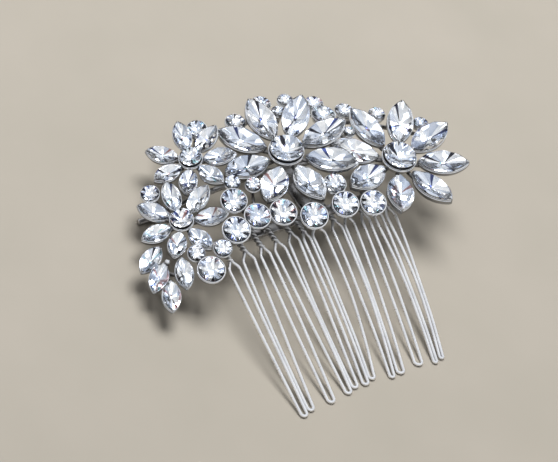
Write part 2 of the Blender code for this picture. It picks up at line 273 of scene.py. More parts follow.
def gap_shadow_material():
    """Painted shadow: a near-black sheet under the edge of a stone, for the shade in the gap round it."""
    material, nodes, links, shader = new_material("setting_gap_shadow")
    shadow_mottle = noise_on_object(nodes, links, GAP_SHADOW_SCALE)
    colour = ramp(nodes, links, shadow_mottle, [(0.3, (0.012, 0.012, 0.014)), (0.7, (0.03, 0.028, 0.028))])
    links.new(colour, shader.inputs["Base Color"])
    shader.inputs["Roughness"].default_value = 0.6
    return material


# Painted shade: walls and undersides of the cups are painted darker, most on the petals' cups for their
# shaded near edges, less on the round cups
CUP_METAL = metal_material(
    "cup_metal", bright=(0.92, 0.93, 0.95), dull=(0.76, 0.77, 0.79), roughness=(0.1, 0.24), grain=0.15,
    shade=0.62,
)
RIM_METAL = metal_material(
    "rim_metal", bright=(0.94, 0.95, 0.97), dull=(0.80, 0.81, 0.83), roughness=(0.1, 0.22), grain=0.15,
    shade=0.22,
)
# Painted shade: the arms, posts and ties are a dark copy of the plating, for the shade between the petals
# and under the flowers
ARM_METAL_PAINTED_SHADE = metal_material(
    "arm_metal_painted_shade", bright=(0.34, 0.33, 0.33), dull=(0.16, 0.155, 0.15), roughness=(0.2, 0.4), grain=0.3,
    shade=0.4,
)
# Painted shadow: the wire is darker on its twisted stems, under the flowers
WIRE_METAL = metal_material(
    "wire_metal", bright=(0.97, 0.97, 0.98), dull=(0.86, 0.86, 0.88), roughness=(0.24, 0.36), grain=0.2,
    painted_shadow=0.55,
)
# Painted shade: the back frame is a dark copy of the plating, for the shade it lies in under the flowers
FRAME_METAL_PAINTED_SHADE = metal_material(
    "frame_metal_painted_shade", bright=(0.46, 0.45, 0.45), dull=(0.26, 0.255, 0.25), roughness=(0.2, 0.4), grain=0.3,
)
GLASS = glass_material()
GAP_SHADOW = gap_shadow_material()
FOIL = foil_material()

# A facet that faces up less than this is foiled, even on the crown
FOIL_RISE = 0.7
# Facets under this share of the largest one are narrow
NARROW_SHARE = 0.45
# Painted reflections of the facets: pale tones, and dark or coloured glints. One that is listed more than
# once comes up more often
PALE_PAINTED_REFLECTIONS = (
    WHITE,
    WHITE,
    (0.94, 0.96, 1.0),
    (0.82, 0.86, 0.93),
    (0.62, 0.67, 0.77),
)
DARK_PAINTED_REFLECTIONS = (
    (0.05, 0.07, 0.20),
    (0.05, 0.07, 0.20),
    (0.02, 0.02, 0.035),
    (0.02, 0.02, 0.035),
    (0.02, 0.02, 0.035),
    (0.30, 0.34, 0.45),
    (0.30, 0.34, 0.45),
    (0.50, 0.80, 0.84),
    (0.44, 0.25, 0.24),
)
# Painted reflection tones of the crown facets, near white
CROWN_PAINTED_REFLECTIONS = (WHITE, (0.98, 0.99, 1.0), (0.95, 0.97, 1.0))


# ---------------------------------------------------------------- shapes

def placed(centre, lean_x, lean_y, turn=0.0):
    """Frame at a centre whose up direction leans by lean_x and lean_y, turned about it by turn degrees."""
    up = Vector((lean_x, lean_y, math.sqrt(1.0 - lean_x**2 - lean_y**2)))
    along = Vector((0.0, 1.0, 0.0)).cross(up).normalized()
    side = up.cross(along)
    axes = Matrix((along, side, up)).transposed().to_4x4()
    return Matrix.Translation(centre) @ axes @ Matrix.Rotation(math.radians(turn), 4, "Z")


def skin(rings):
    """Closed body from rings of equal length; a ring of one point closes an end to a tip."""
    points = []
    starts = []
    for ring in rings:
        starts.append(len(points))
        points.extend(ring)
    faces = []
    for low, high, here, after in zip(rings, rings[1:], starts, starts[1:]):
        count = max(len(low), len(high))
        for i in range(count):
            j = (i + 1) % count
            if len(low) == 1:
                faces.append((here, after + j, after + i))
            elif len(high) == 1:
                faces.append((here + i, here + j, after))
            else:
                faces.append((here + i, here + j, after + j, after + i))
    if len(rings[0]) > 1:
        faces.append(tuple(reversed(range(len(rings[0])))))
    if len(rings[-1]) > 1:
        faces.append(tuple(starts[-1] + i for i in range(len(rings[-1]))))
    return points, faces


def moved(shape, where):
    points, faces = shape
    return [where @ Vector(point) for point in points], faces


def boat(length, width, per_side):
    """Boat outline, two arcs that meet at the ends, and the radius of the arcs."""
    half = length / 2
    beam = width / 2
    radius = (half**2 + beam**2) / (2 * beam)
    spread = math.asin(half / radius)
    outline = []
    for side in (1, -1):
        for step in range(per_side):
            angle = spread * (1 - 2 * step / per_side)
            out = radius * math.cos(angle) - radius + beam
            outline.append((side * radius * math.sin(angle), side * out))
    return outline, radius


def boat_ring(length, width, height):
    return [(x, y, height) for x, y in boat(length, width, CUP_SIDE_POINTS)[0]]


def round_ring(diameter, height, sides=40):
    turns = [2 * math.pi * i / sides for i in range(sides)]
    return [(diameter / 2 * math.cos(turn), diameter / 2 * math.sin(turn), height) for turn in turns]


def smooth_path(points, steps):
    """Curve through the points, with steps pieces between each two."""
    points = [Vector(point) for point in points]
    path = []
    for i in range(len(points) - 1):
        a = points[max(i - 1, 0)]
        b = points[i]
        c = points[i + 1]
        d = points[min(i + 2, len(points) - 1)]
        for step in range(steps):
            t = step / steps
            path.append(0.5 * (2 * b + (c - a) * t + (2 * a - 5 * b + 4 * c - d) * t**2
                               + (3 * b - a - 3 * c + d) * t**3))
    path.append(points[-1])
    return path


# Rings of a rounded wire end: how far out each lies and how wide it is, as shares of the radius
END_RINGS = ((0.4, 0.8), (0.55, 0.45))


def tube(path, radius, sides=10, end_radius=None):
    """Round wire along a path, with rounded ends. It may taper from radius to end_radius."""
    path = [Vector(point) for point in path]
    last = radius if end_radius is None else end_radius
    rings = []
    across = None
    for i, point in enumerate(path):
        before = path[max(i - 1, 0)]
        after = path[min(i + 1, len(path) - 1)]
        ahead = (after - before).normalized()
        if across is None:
            across = ahead.cross(Vector((0.03, 0.02, 1))).normalized()
        across = (across - ahead * across.dot(ahead)).normalized()
        lift = across.cross(ahead)
        size = radius + (last - radius) * i / (len(path) - 1)
        slices = [(0.0, 1.0)]
        if i == 0:
            slices = [(-out, share) for out, share in reversed(END_RINGS)] + slices
        elif i == len(path) - 1:
            slices.extend(END_RINGS)
        for forward, share in slices:
            ring = []
            for k in range(sides):
                turn = -2 * math.pi * (k + 0.5) / sides
                spoke = across * math.cos(turn) + lift * math.sin(turn)
                ring.append(point + ahead * forward * size + spoke * size * share)
            rings.append(ring)
    return skin(rings)


CORNER_STEPS = 3


def rounded_bar(start, end, width, height, round_off):
    """Flat bar between two points, level across its width, with rounded long edges and ends."""
    start = Vector(start)
    end = Vector(end)
    ahead = (end - start).normalized()
    across = ahead.cross(Vector((0, 0, 1))).normalized()
    lift = across.cross(ahead).normalized()
    ends = (
        (start, round_off),
        (start + ahead * round_off * 0.3, round_off * 0.3),
        (start + ahead * round_off, 0.0),
        (end - ahead * round_off, 0.0),
        (end - ahead * round_off * 0.3, round_off * 0.3),
        (end, round_off),
    )
    rings = []
    for point, shrink in ends:
        ring = []
        for corner in range(4):
            centre_turn = -math.pi / 2 * corner - math.pi / 4
            sign_x = 1 if math.cos(centre_turn) > 0 else -1
            sign_y = 1 if math.sin(centre_turn) > 0 else -1
            for step in range(CORNER_STEPS + 1):
                turn = centre_turn + math.pi / 4 - math.pi / 2 * step / CORNER_STEPS
                x = sign_x * (width / 2 - round_off) + (round_off - shrink) * math.cos(turn)
                y = sign_y * (height / 2 - round_off) + (round_off - shrink) * math.sin(turn)
                ring.append(point + across * x + lift * y)
        rings.append(ring)
    return skin(rings)


BLOB_RINGS = 8
BLOB_SIDES = 14


def blob(size):
    """Rounded lump of the given length, width and height."""
    made = [[(0.0, 0.0, -size[2] / 2)]]
    for i in range(1, BLOB_RINGS):
        polar = math.pi * i / BLOB_RINGS
        reach = math.sin(polar) / 2
        height = -math.cos(polar) * size[2] / 2
        ring = []
        for k in range(BLOB_SIDES):
            turn = 2 * math.pi * k / BLOB_SIDES
            ring.append((size[0] * reach * math.cos(turn), size[1] * reach * math.sin(turn), height))
        made.append(ring)
    made.append([(0.0, 0.0, size[2] / 2)])
    return skin(made)


# ---------------------------------------------------------------- cut stones

# Heights of the upper and lower edge of a stone, and how far its uncut blank reaches past the facets
GIRDLE_TOP = 0.06
GIRDLE_LOW = -0.1
BLANK_MARGIN = 0.5

# Navettes: where along a side, as a share of it, the facets above and below touch the edge
BEVELS = (-0.8, -0.27, 0.27, 0.8)
PAVILION = (-0.86, -0.5, -0.36, -0.2, 0.2, 0.58, 0.72, 0.88)
NAVETTE_SIDE_POINTS = 22
TIP_SLOPE = 29
CULET_FACETS = 4
CULET_SHARE = 0.93
CULET_SLOPE = 12

# Round stones: the two half facets beside each main one, in shares of a fold, and how many degrees steeper
# they are above
HALF_FACETS = (0.25, 0.75)
HALF_FACET_EXTRA = 6
ROUND_SIDES = 48


def cut_stone(outline, top, bottom, planes):
    """Stone cut by flat facets from a straight-sided blank. A plane is a point and an outward direction."""
    bm = bmesh.new()
    low = [bm.verts.new((x, y, bottom)) for x, y in outline]
    high = [bm.verts.new((x, y, top)) for x, y in outline]
    bm.faces.new(list(reversed(low)))
    bm.faces.new(high)
    for i in range(len(outline)):
        j = (i + 1) % len(outline)
        bm.faces.new((low[i], low[j], high[j], high[i]))
    for point, normal in planes:
        everything = bm.verts[:] + bm.edges[:] + bm.faces[:]
        made = bmesh.ops.bisect_plane(
            bm, geom=everything, dist=1e-5, plane_co=point, plane_no=normal, clear_outer=True
        )
        rim = [item for item in made["geom_cut"] if isinstance(item, bmesh.types.BMEdge)]
        rim = [edge for edge in rim if edge.is_boundary]
        if rim:
            bmesh.ops.contextual_create(bm, geom=rim)
    bmesh.ops.recalc_face_normals(bm, faces=bm.faces[:])
    bm.verts.index_update()
    points = [vertex.co.copy() for vertex in bm.verts]
    faces = [tuple(vertex.index for vertex in face.verts) for face in bm.faces]
    bm.free()
    return points, faces


def slope_plane(point, outward, slope):
    """Plane through a point, falling away outward at slope degrees."""
    lean = math.radians(slope)
    return point, Vector((outward[0] * math.sin(lean), outward[1] * math.sin(lean), math.cos(lean)))


def apex_plane(point, outward, apex):
    """Underside plane that touches the outline at a point and runs through the apex."""
    reach = outward[0] * point[0] + outward[1] * point[1]
    drop = point[2] - apex
    return point, Vector((outward[0] * drop, outward[1] * drop, -reach))


def culet_planes(count, height, slope):
    """Small facets round the lowest point of the underside."""
    planes = []
    for k in range(count):
        turn = 2 * math.pi * (k + 0.5) / count
        lean = math.radians(slope)
        outward = (math.cos(turn) * math.sin(lean), math.sin(turn) * math.sin(lean), -math.cos(lean))
        planes.append(((0.0, 0.0, height), Vector(outward)))
    return planes


def navette_cut(size, crown, apex, slope):
    """Boat-shaped stone: a broad flat table, long bevels, and wide and narrow facets that meet below."""
    length, width = size
    outline, radius = boat(length, width, NAVETTE_SIDE_POINTS)
    spread = math.asin(length / 2 / radius)

    def touch(side, share, height):
        angle = spread * share * side
        outward = (side * math.sin(angle), side * math.cos(angle))
        return (radius * outward[0], radius * outward[1] - side * (radius - width / 2), height), outward

    planes = [((0.0, 0.0, crown), (0.0, 0.0, 1.0))]
    for side in (1, -1):
        for share in BEVELS:
            planes.append(slope_plane(*touch(side, share, GIRDLE_TOP), slope))
        for share in PAVILION:
            planes.append(apex_plane(*touch(side, share, GIRDLE_LOW), apex))
    planes.extend(culet_planes(CULET_FACETS, CULET_SHARE * apex, CULET_SLOPE))
    for end in (1, -1):
        planes.append(slope_plane((end * length / 2, 0.0, GIRDLE_TOP), (end, 0.0), TIP_SLOPE))
    return cut_stone(outline, crown + BLANK_MARGIN, apex - BLANK_MARGIN, planes)


def round_cut(diameter, crown, apex, slope, folds, break_drop):
    """Round stone: a table, main and half facets round it, and a cone of facets below.

    break_drop is how much steeper than the main facets below the small ones at the edge are."""
    outline = [(x, y) for x, y, z in round_ring(diameter, 0.0, ROUND_SIDES)]
    radius = diameter / 2
    planes = [((0.0, 0.0, crown), (0.0, 0.0, 1.0))]

    def touch(turn, height):
        outward = (math.cos(turn), math.sin(turn))
        return (radius * outward[0], radius * outward[1], height), outward

    for k in range(folds):
        turn = 2 * math.pi * k / folds
        planes.append(slope_plane(*touch(turn, GIRDLE_TOP), slope))
        planes.append(apex_plane(*touch(turn, GIRDLE_LOW), apex))
        for share in HALF_FACETS:
            half = turn + share * 2 * math.pi / folds
            planes.append(slope_plane(*touch(half, GIRDLE_TOP), slope + HALF_FACET_EXTRA))
            planes.append(apex_plane(*touch(half, GIRDLE_LOW), apex * break_drop))
    return cut_stone(outline, crown + BLANK_MARGIN, apex - BLANK_MARGIN, planes)


# ---------------------------------------------------------------- cups

def cup(ring, depth, base, lip, gap=CUP_GAP, thickness=CUP_WALL):
    """Open cup with a rounded lip over a turned groove, up the outside and down the inside.

    ring(out, height, share) is its outline out beyond the edge of the stone, shrunk to a share. base is
    the share at the bottom."""
    wall = gap + thickness
    return skin([
        ring(wall, -depth, base),
        ring(wall, -0.82 * depth, base + 0.6 * (1 - base)),
        ring(wall - 0.02, -0.55 * depth, 1.0),
        ring(wall - 0.02, lip - 0.56, 1.0),
        ring(wall - CUP_GROOVE, lip - 0.46, 1.0),
        ring(wall - CUP_GROOVE, lip - 0.32, 1.0),
        ring(wall, lip - 0.22, 1.0),
        ring(wall, lip - 0.09, 1.0),
        ring(wall - 0.05, lip - 0.02, 1.0),
        ring(0.5 * (wall + gap), lip, 1.0),
        ring(gap + 0.04, lip - 0.02, 1.0),
        ring(gap, lip - 0.1, 1.0),
        ring(gap, -0.3 * depth, 1.0),
        ring(CUP_GAP, CUP_BOTTOM - depth, base - 0.06),
    ])


def navette_cup(size, depth):
    length, width = size

    def ring(out, height, share):
        end_share = 1 - NAVETTE_END_TAPER * (1 - share)
        return boat_ring((length + 2 * out) * end_share, (width + 2 * out) * share, height)

    return cup(ring, depth, NAVETTE_BASE, NAVETTE_LIP)


def round_cup(diameter, depth, lip=ROUND_LIP, gap=ROUND_GAP, thickness=None):
    """Round cup. Its wall is thicker on a larger stone, unless a thickness is given."""
    if thickness is None:
        thickness = ROUND_WALL + ROUND_WALL_PER_MM * diameter

    def ring(out, height, share):
        return round_ring((diameter + 2 * out) * share, height)

    return cup(ring, depth, ROUND_BASE, lip, gap, thickness)


def gap_shadow_ring(diameter, gap, height):
    """Ring of painted shadow, a near-black sheet between a round stone and the wall of its cup, lower toward
    the middle.
    """
    wide = diameter + 2 * gap - 0.02
    narrow = diameter - 0.9
    rings = [
        round_ring(wide, height - 0.25),
        round_ring(wide, height),
        round_ring(narrow, height - 0.12),
        round_ring(narrow, height - 0.37),
    ]
    count = len(rings[0])
    points = [point for ring in rings for point in ring]
    faces = []
    for level in range(len(rings)):
        here = level * count
        after = (level + 1) % len(rings) * count
        for i in range(count):
            j = (i + 1) % count
            faces.append((here + i, here + j, after + j, after + i))
    return points, faces


def claw(reach, turn, radius, over):
    """Small claw that rises from the lip at reach from the middle and folds in by over."""
    path = smooth_path([
        (reach + 0.1, 0.0, -0.75),
        (reach + 0.12, 0.0, -0.2),
        (reach + 0.02, 0.0, 0.08),
        (reach - over, 0.0, 0.1 + 0.5 * over),
    ], 3)
    return moved(tube(path, radius, 8, radius * 0.7), Matrix.Rotation(math.radians(turn), 4, "Z"))


# ---------------------------------------------------------------- pieces

# Faces that meet at more than this many degrees keep a hard edge between them
SHARP_ANGLE = 38


def build(name, parts, nodes=(), smooth=True):
    """One piece from (shape, material) parts. It rides on the comb and may replace CAD nodes."""
    points = []
    faces = []
    looks = []
    materials = []
    for (part_points, part_faces), material in parts:
        if material not in materials:
            materials.append(material)
        start = len(points)
        points.extend((Vector(point) + SHIFT) * MM for point in part_points)
        for face in part_faces:
            faces.append(tuple(start + i for i in face))
            looks.append(materials.index(material))
    mesh = bpy.data.meshes.new(name)
    mesh.from_pydata(points, [], faces)
    mesh.update()
    bm = bmesh.new()
    bm.from_mesh(mesh)
    bmesh.ops.recalc_face_normals(bm, faces=bm.faces[:])
    bm.to_mesh(mesh)
    bm.free()
    for material in materials:
        mesh.materials.append(material)
    for face, look in zip(mesh.polygons, looks):
        face.material_index = look
        face.use_smooth = smooth
    mesh.set_sharp_from_angle(angle=math.radians(SHARP_ANGLE))
    piece = bpy.data.objects.new(name, mesh)
    bpy.context.scene.collection.objects.link(piece)
    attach(piece, "root")
    if nodes:
        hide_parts(*nodes)
    return piece


def set_by_hand(seed):
    """Small roll and pitch of a stone in its cup; half of the stones are turned end for end."""
    chance = random.Random(seed)
    roll = Matrix.Rotation(math.radians(chance.uniform(-3.5, 3.5)), 4, "X")
    pitch = Matrix.Rotation(math.radians(chance.uniform(-0.6, 1.2)), 4, "Y")
    end = Matrix.Rotation(math.pi * chance.randint(0, 1), 4, "Z")
    return roll @ pitch @ end


def build_stone(name, shape, where, seed, nodes=(), dark_narrow=0.5, dark_wide=0.0):
    """Cut stone: clear on the crown side and foiled below, each foil facet with its own painted reflection
    tone.

    dark_narrow and dark_wide are how often a narrow or a wide facet takes one of the dark or coloured
    painted glints."""
    piece = build(name, [(moved(shape, where), GLASS)], nodes, smooth=False)
    mesh = piece.data
    mesh.materials.append(FOIL)
    up = where.to_3x3() @ Vector((0, 0, 1))
    chance = random.Random(seed)
    layer = mesh.color_attributes.new(FACET_LAYER, "FLOAT_COLOR", "CORNER")
    largest = max(face.area for face in mesh.polygons if face.normal.dot(up) < 0)
    for face in mesh.polygons:
        shade = 0.95 + 0.05 * chance.random()
        rise = face.normal.dot(up)
        if rise < FOIL_RISE:
            face.material_index = 1
        dark = dark_wide if face.area > NARROW_SHARE * largest else dark_narrow
        # Painted reflections: each facet takes a fixed tone for what it reflects, pale, or a dark or
        # coloured glint
        if rise > 0:
            painted_tone = chance.choice(CROWN_PAINTED_REFLECTIONS)
        elif chance.random() < dark:
            painted_tone = chance.choice(DARK_PAINTED_REFLECTIONS)
        else:
            painted_tone = chance.choice(PALE_PAINTED_REFLECTIONS)
        for corner in face.loop_indices:
            layer.data[corner].color = (painted_tone[0] * shade, painted_tone[1] * shade, painted_tone[2] * shade, 1.0)


def overhung(size):
    """Size of a stone whose edge lies over the lip of its cup."""
    return size[0] + OVERHANG, size[1] + OVERHANG


# One kind of flower: size of its petal stones and depth of their cups, rise of the petals in degrees, centre
# stone and depth of its cup, radius of the claws and how far they fold over, and cut of the petal stones
FlowerKind = collections.namedtuple("FlowerKind", "size depth rise hub hub_depth claws cut")
BIG = FlowerKind(
    size=BIG_NAVETTE,
    depth=BIG_CUP_DEPTH,
    rise=9.0,
    hub=BIG_CENTRE,
    hub_depth=CENTRE_CUP_DEPTH,
    claws=(0.24, 0.45),
    cut=navette_cut(overhung(BIG_NAVETTE), crown=0.6, apex=-1.85, slope=42),
)
SMALL = FlowerKind(
    size=SMALL_NAVETTE,
    depth=SMALL_CUP_DEPTH,
    rise=11.0,
    hub=SMALL_CENTRE,
    hub_depth=SMALL_CUP_DEPTH + 0.7,
    claws=(0.17, 0.3),
    cut=navette_cut(overhung(SMALL_NAVETTE), crown=0.5, apex=-1.3, slope=42),
)
# How far inside the end of a navette its claws stand, and how far the centre of a flower stands over it
CLAW_INSET = 0.1
HUB_RISE = 0.5


def petal_setting(kind, where):
    """Cup of a petal with a claw at each end."""
    parts = [(moved(navette_cup(kind.size, kind.depth), where), CUP_METAL)]
    for end in (0, 180):
        shape = claw(kind.size[0] / 2 - CLAW_INSET, end, *kind.claws)
        parts.append((moved(shape, where), CUP_METAL))
    return parts


def round_setting(diameter, depth, where):
    """Cup of a round stone with its four claws."""
    parts = [(moved(round_cup(diameter, depth), where), RIM_METAL)]
    # Painted shadow in the gap round the stone
    parts.append((moved(gap_shadow_ring(diameter, ROUND_GAP, ROUND_LIP - 0.15), where), GAP_SHADOW))
    claw_reach = diameter / 2 - 0.12
    claw_radius = 0.09 + 0.022 * diameter
    claw_over = 0.05 * diameter + 0.1
    for turn in (45, 135, 225, 315):
        shape = claw(claw_reach, turn, claw_radius, claw_over)
        parts.append((moved(shape, where), CUP_METAL))
    return parts


def flower(number, kind, centre, lean, first, radius, trims, extras=()):
    """Cups, centre stone and petals of a flower, and extras, which are round stones beside it.

    first is the bearing of the first petal, and trims turn each petal a little from even spacing."""
    where = placed(centre, *lean)
    hub_where = where @ Matrix.Translation((0, 0, HUB_RISE))
    seat = round_cup(kind.hub, kind.hub_depth, CENTRE_LIP, CENTRE_GAP, CENTRE_WALL)
    parts = [(moved(seat, hub_where), RIM_METAL)]
    # Painted shadow in the gap round the centre stone
    parts.append((moved(gap_shadow_ring(kind.hub, CENTRE_GAP, CENTRE_LIP - 0.25), hub_where), GAP_SHADOW))
    floor_height = HUB_RISE - kind.hub_depth + 0.2
    for k, trim in enumerate(trims):
        turn = first - k * 360.0 / len(trims) + trim
        bearing = where @ Matrix.Rotation(math.radians(turn), 4, "Z")
        tilt = Matrix.Rotation(math.radians(-kind.rise), 4, "Y")
        petal = bearing @ Matrix.Translation((radius, 0, 0)) @ tilt
        parts.extend(petal_setting(kind, petal))
        inner = bearing @ Vector((0.3 * kind.hub, 0, floor_height))
        outer = petal @ Vector((0, 0, -kind.depth))
        middle = (inner + outer) / 2 - where.to_3x3() @ Vector((0, 0, 0.15))
        parts.append((tube(smooth_path((inner, middle, outer), 4), ARM_RADIUS), ARM_METAL_PAINTED_SHADE))
        seed = 100 * number + k
        build_stone("flower_%d_gem_%d" % (number, k + 1), kind.cut, petal @ set_by_hand(seed), seed,
                    ["flower_%d_petal_%d" % (number, k + 1)])
    for index, (spot, diameter) in enumerate(extras):
        spot_where = placed(spot, *lean)
        parts.extend(round_setting(diameter, SMALL_CUP_DEPTH, spot_where))
        inner = where @ Vector((0, 0, floor_height - 0.2))
        outer = spot_where @ Vector((0, 0, -SMALL_CUP_DEPTH - 0.2))
        parts.append((tube((inner, outer), ARM_RADIUS), ARM_METAL_PAINTED_SHADE))
        name = "flower_%d_side_gem_%d" % (number, index + 1)
        round_gem(name, diameter, spot_where, 100 * number + 50 + index)
    build("flower_%d_cups" % number, parts, ["flower_%d_casting" % number])
    stone = round_cut(kind.hub + 0.3, crown=0.11 * kind.hub, apex=0.75 - kind.hub_depth, slope=44, folds=14,
                      break_drop=1.04)
    build_stone("flower_%d_centre_gem" % number, stone, hub_where, 100 * number + 90,
                ["flower_%d_centre" % number], dark_narrow=0.45, dark_wide=0.14)


def round_gem(name, diameter, where, seed):
    """Round stone of a row, turned in its cup by its seed."""
    size = diameter + 0.06
    stone = round_cut(size, crown=0.125 * size, apex=-0.31 * size, slope=33, folds=8, break_drop=1.05)
    turned = where @ Matrix.Rotation(math.radians(7 * (seed % 5)), 4, "Z")
    build_stone(name, stone, turned, seed, dark_narrow=0.4)


# Rows: a stone wider than this has the deeper of the two cups
WIDE_ROUND = 5.0


def cup_row(name, cups, lean, depths, drop, seed):
    """Cups, each on a post that goes down by drop, and their stones. Gives the parts and the posts' feet."""
    parts = []
    feet = []
    for index, (x, y, z, diameter) in enumerate(cups):
        depth = depths[0] if diameter > WIDE_ROUND else depths[1]
        where = placed((x, y, z), *lean)
        foot = where @ Vector((0, 0, -drop))
        parts.extend(round_setting(diameter, depth, where))
        parts.append((tube((where @ Vector((0, 0, 0.35 - depth)), foot), POST_RADIUS), ARM_METAL_PAINTED_SHADE))
        round_gem("%s_gem_%d" % (name, index + 1), diameter, where, seed + index)
        feet.append(foot)
    return parts, feet


# Round stones beside the small flowers: place and size
ROUND_3 = ((-7.2, 27.3, 10.5), 4.4)
ROUND_4 = ((-27.2, 15.4, 8.3), 4.0)

# Flowers: centre, lean, bearing of the first petal, reach to the petals, and their trims, clockwise
flower(1, BIG, (7.9, 12.4, 14.0), (-0.20, 0.08), 90.0, 10.7, (0, 0, 2, 2, -3, -3, -1, -1))
flower(2, BIG, (34.4, 1.5, 14.0), (-0.09, 0.0), 54.0, 10.8, (0, 3, 5, 4, 3, 2, 4, 3))
flower(3, SMALL, (-13.6, 20.0, 10.5), (-0.33, 0.08), 76.0, 6.55, (0, 0, -1, 2, 4, 8, 11), (ROUND_3,))
flower(4, SMALL, (-24.7, 5.8, 9.0), (-0.33, 0.05), 76.0, 6.65, (3, 0, 2, -4, 0, 3, 2), (ROUND_4,))

# Spray of four small petals and a bead, beside the second small flower: place, height, bearing
SPRAY = (
    (-36.5, -0.6, 6.9, 207.0),
    (-37.3, -5.5, 6.7, 222.0),
    (-31.6, -7.0, 7.7, 250.0),
    (-37.2, -10.9, 6.5, 243.0),
)
SPRAY_ROOT = (-33.5, -4.0, 4.6)
BEAD = (-34.1, -3.3, 8.0)
SPRAY_LEAN = (-0.25, -0.1)
BEAD_SIZE = 1.3
spray = []
for k, (x, y, z, bearing) in enumerate(SPRAY):
    petal = placed((x, y, z), *SPRAY_LEAN, bearing)
    spray.extend(petal_setting(SMALL, petal))
    foot = petal @ Vector((0, 0, -0.1 - SMALL_CUP_DEPTH))
    spray.append((tube((foot, SPRAY_ROOT), ARM_RADIUS), ARM_METAL_PAINTED_SHADE))
    seed = 500 + k
    build_stone("spray_gem_%d" % (k + 1), SMALL.cut, petal @ set_by_hand(seed), seed,
                ["spray_petal_%d" % (k + 1)])
spray.append((moved(blob((BEAD_SIZE, BEAD_SIZE, BEAD_SIZE)), Matrix.Translation(BEAD)), CUP_METAL))
spray.append((tube((BEAD, SPRAY_ROOT), BEAD_WIRE_RADIUS), ARM_METAL_PAINTED_SHADE))
build("spray_cups", spray, ["spray_casting"])

# Round stones over the teeth and along the far edge: place, height, stone
FRONT_ROW = (
    (-27.6, -4.6, 10.3, 3.6),
    (-27.3, -10.2, 11.0, 5.8),
    (-22.2, -6.6, 12.2, 3.8),
    (-16.9, -3.7, 13.3, 5.9),
    (-10.1, -2.2, 13.8, 5.6),
    (-3.9, -3.6, 14.4, 5.8),
    (2.8, -7.0, 14.4, 5.9),
    (12.2, -6.6, 14.4, 5.8),
    (19.2, -8.5, 14.4, 5.6),
)
SECOND_ROW = (
    (-12.4, 4.1, 13.0, 5.6),
    (13.6, -0.3, 14.0, 4.8),
    (-9.4, 9.1, 12.5, 3.3),
    (-5.6, 6.3, 13.5, 3.3),
)
REAR_ROW = (
    (3.6, 26.3, 10.3, 4.5),
    (12.5, 28.8, 11.0, 4.3),
    (14.1, 24.4, 12.5, 2.9),
    (18.3, 27.1, 12.0, 3.6),
    (24.4, 23.7, 12.5, 4.2),
    (24.3, 19.6, 13.0, 5.2),
    (31.9, 20.3, 11.0, 4.2),
    (37.8, 15.5, 13.0, 3.7),
    (47.1, 9.4, 13.0, 3.4),
)
INNER_REAR = (
    (26.6, 12.3, 14.0, 2.6),
    (27.2, 15.9, 13.0, 2.0),
)
# Places in FRONT_ROW that the posts of SECOND_ROW are tied to, and in REAR_ROW for the end of INNER_REAR
SECOND_TIES = (4, 7, 4, 4)
INNER_TIE = 5

front, front_feet = cup_row("front_row", FRONT_ROW, (-0.25, -0.18), depths=(2.4, 1.9), drop=2.5, seed=600)
second, second_feet = cup_row("second_row", SECOND_ROW, (-0.25, -0.1), depths=(2.4, 1.9), drop=2.8, seed=620)
front_wires = [
    (tube((foot, front_feet[near]), TIE_RADIUS), ARM_METAL_PAINTED_SHADE)
    for near, foot in zip(SECOND_TIES, second_feet)
]
front_wires.append((tube(smooth_path(front_feet, 5), GALLERY_RADIUS), ARM_METAL_PAINTED_SHADE))
build("front_cups", front + second + front_wires, ["front_cup_row"])
rear, rear_feet = cup_row("rear_row", REAR_ROW, (-0.1, 0.12), depths=(2.2, 1.9), drop=4.2, seed=640)
inner, inner_feet = cup_row("inner_rear", INNER_REAR, (-0.1, 0.05), depths=(1.9, 1.6), drop=4.0, seed=660)
rear_wires = [
    (tube(smooth_path(rear_feet, 5), GALLERY_RADIUS), ARM_METAL_PAINTED_SHADE),
    (tube(smooth_path(inner_feet + [rear_feet[INNER_TIE]], 5), TIE_RADIUS), ARM_METAL_PAINTED_SHADE),
]
build("rear_cups", rear + inner + rear_wires, ["rear_cup_row"])


# ---------------------------------------------------------------- teeth

def twist_strand(x, root, split, phase):
    """One of the two wires of a stem, from its root to the end of the twist."""
    turns = TURNS_PER_MM * (root - split)
    low = Vector((x, STEM_END, STEM_LOW))
    high = Vector((x, STEM_ROOT, STEM_HIGH))
    start = low.lerp(high, (root - STEM_END) / (STEM_ROOT - STEM_END))
    end = low.lerp(high, (split - STEM_END) / (STEM_ROOT - STEM_END))
    steps = round(STEPS_PER_TURN * turns)
    path = []
    for i in range(steps + 1):
        angle = 2 * math.pi * turns * (1 - i / steps) + phase
        offset = Vector((math.cos(angle), 0.0, math.sin(angle))) * WIRE_RADIUS
        path.append(start.lerp(end, i / steps) + offset)
    return path


